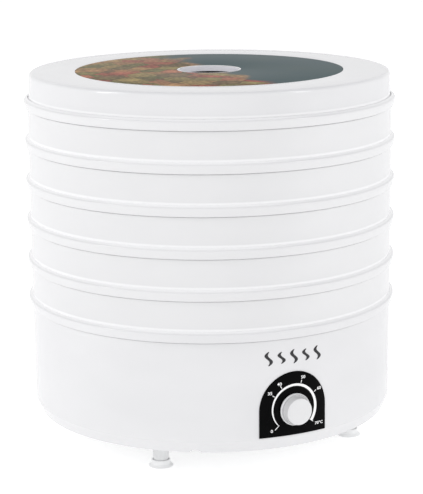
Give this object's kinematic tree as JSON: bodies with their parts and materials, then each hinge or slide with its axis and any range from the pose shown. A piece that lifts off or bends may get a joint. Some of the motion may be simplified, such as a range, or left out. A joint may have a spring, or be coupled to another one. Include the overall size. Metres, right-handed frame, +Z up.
{
  "type": "food dehydrator",
  "caption": "Round white food dehydrator: fan-heater base with a thermostat knob, nesting trays stacked on it, and a flat lid with a central vent.",
  "frame": {"origin": "on the surface it stands on, under the middle of the drum", "axes": "+Z up; the knob faces -Y and the cord inlet +Y"},
  "size_m": [0.326, 0.3414, 0.323],
  "materials": {
    "white_shell": "glossy white moulded plastic, faintly cool",
    "white_tray": "glossy white moulded plastic",
    "white_knob": "satin white moulded plastic",
    "black_panel": "gloss black with white printed dial",
    "inner_plastic": "satin white plastic",
    "soft_foot": "translucent pale soft plastic",
    "label_print": "printed film in produce colours",
    "screw_steel": "zinc plated",
    "sheet_steel": "pressed plated sheet",
    "brass": "turned",
    "copper": "enamelled winding and drawn tube",
    "mica": "mica board",
    "heater_alloy": "oxidised resistance wire",
    "core_steel": "stacked laminations",
    "black_plastic": "satin",
    "brown_sleeve": "wire sleeve",
    "blue_sleeve": "wire sleeve"
  },
  "bodies": {
    "base": {"base_housing": "white_shell", "control_panel": "black_panel", "bottom_cover": "inner_plastic", "foot_pad_1": "soft_foot", "foot_pad_2": "soft_foot", "foot_pad_3": "soft_foot", "foot_pad_4": "soft_foot", "cover_screw_1": "screw_steel", "cover_screw_2": "screw_steel", "cover_screw_3": "screw_steel", "cover_screw_4": "screw_steel", "air_grille": "inner_plastic", "thermostat_body": "sheet_steel", "thermostat_nut": "brass", "capillary_sensor": "copper", "heater_shroud": "sheet_steel", "heater_plate_1": "mica", "heater_plate_2": "mica", "heater_coil": "heater_alloy", "thermal_fuse": "sheet_steel", "shroud_screw_1": "screw_steel", "shroud_screw_2": "screw_steel", "shroud_screw_3": "screw_steel", "motor_core": "core_steel", "motor_winding": "copper", "motor_bracket_top": "sheet_steel", "motor_bracket_bottom": "sheet_steel", "bearing_top": "brass", "bearing_bottom": "brass", "motor_screw_1": "screw_steel", "motor_screw_2": "screw_steel", "mount_screw_1": "screw_steel", "mount_screw_2": "screw_steel", "cord_gland": "inner_plastic", "terminal_block": "inner_plastic", "wire_supply": "brown_sleeve", "wire_neutral": "blue_sleeve", "wire_heater": "brown_sleeve", "wire_motor": "blue_sleeve"},
    "knob": {"knob": "white_knob", "thermostat_spindle": "brass"},
    "fan": {"fan": "black_plastic", "fan_nut": "brass", "motor_shaft": "screw_steel", "rotor": "core_steel"},
    "tray_5": {"tray_5": "white_tray"},
    "tray_4": {"tray_4": "white_tray"},
    "tray_3": {"tray_3": "white_tray"},
    "tray_2": {"tray_2": "white_tray"},
    "tray_1": {"tray_1": "white_tray"},
    "lid": {"lid": "white_shell", "lid_label": "label_print"}
  },
  "joints": [
    {"name": "knob_turn", "type": "hinge", "parent": "base", "child": "knob", "pos_m": [0, -0.165, 0.0567], "axis": [0, 1, 0], "range_deg": [0, 258]},
    {"name": "fan_spin", "type": "hinge", "parent": "base", "child": "fan", "pos_m": [0, 0, 0.06], "axis": [0, 0, 1], "continuous": true},
    {"name": "tray_5_lift", "type": "slide", "parent": "base", "child": "tray_5", "axis": [0, 0, 1], "range_m": [0, 0.05]},
    {"name": "tray_4_lift", "type": "slide", "parent": "tray_5", "child": "tray_4", "axis": [0, 0, 1], "range_m": [0, 0.05]},
    {"name": "tray_3_lift", "type": "slide", "parent": "tray_4", "child": "tray_3", "axis": [0, 0, 1], "range_m": [0, 0.05]},
    {"name": "tray_2_lift", "type": "slide", "parent": "tray_3", "child": "tray_2", "axis": [0, 0, 1], "range_m": [0, 0.05]},
    {"name": "tray_1_lift", "type": "slide", "parent": "tray_2", "child": "tray_1", "axis": [0, 0, 1], "range_m": [0, 0.05]},
    {"name": "lid_lift", "type": "slide", "parent": "tray_1", "child": "lid", "axis": [0, 0, 1], "range_m": [0, 0.05]}
  ]
}
